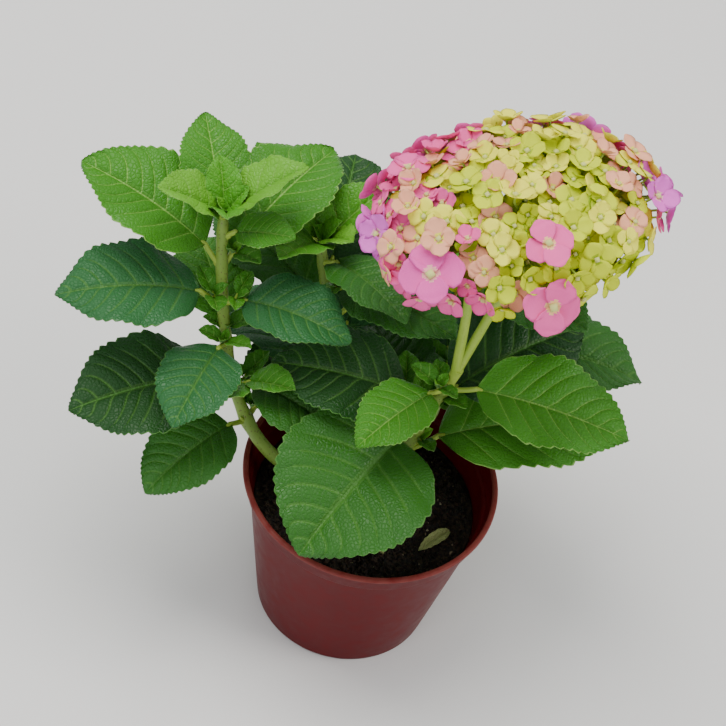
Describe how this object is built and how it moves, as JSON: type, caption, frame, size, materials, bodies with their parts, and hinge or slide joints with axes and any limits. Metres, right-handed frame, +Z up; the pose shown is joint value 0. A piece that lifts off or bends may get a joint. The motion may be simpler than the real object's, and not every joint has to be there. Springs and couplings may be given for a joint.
{
  "type": "potted hydrangea",
  "caption": "Mophead hydrangea shrub in a round plastic nursery pot, with one domed flower head on forked stalks over broad toothed leaves.",
  "frame": {"origin": "centre of the pot's flat underside", "axes": "+Z up along the pot's axis, +X towards the side over which the flower head leans, -Y towards the front"},
  "size_m": [0.3445, 0.2414, 0.3492],
  "materials": {
    "pot": "satin moulded plastic",
    "compost": "crumbly moist peat",
    "bark": "rough bark",
    "shoot": "smooth green stem with fine specks",
    "leaf": "satin quilted leaf",
    "floret": "soft matt petal"
  },
  "bodies": {
    "root": {"pot": "pot", "compost": "compost", "woody_foot": "bark", "bough_right": "shoot", "leaves_right": "leaf", "bough_left": "shoot", "leaves_left": "leaf", "bough_back": "shoot", "leaves_back": "leaf", "bough_far": "shoot", "leaves_far": "leaf", "flower_head": "floret"}
  },
  "joints": []
}
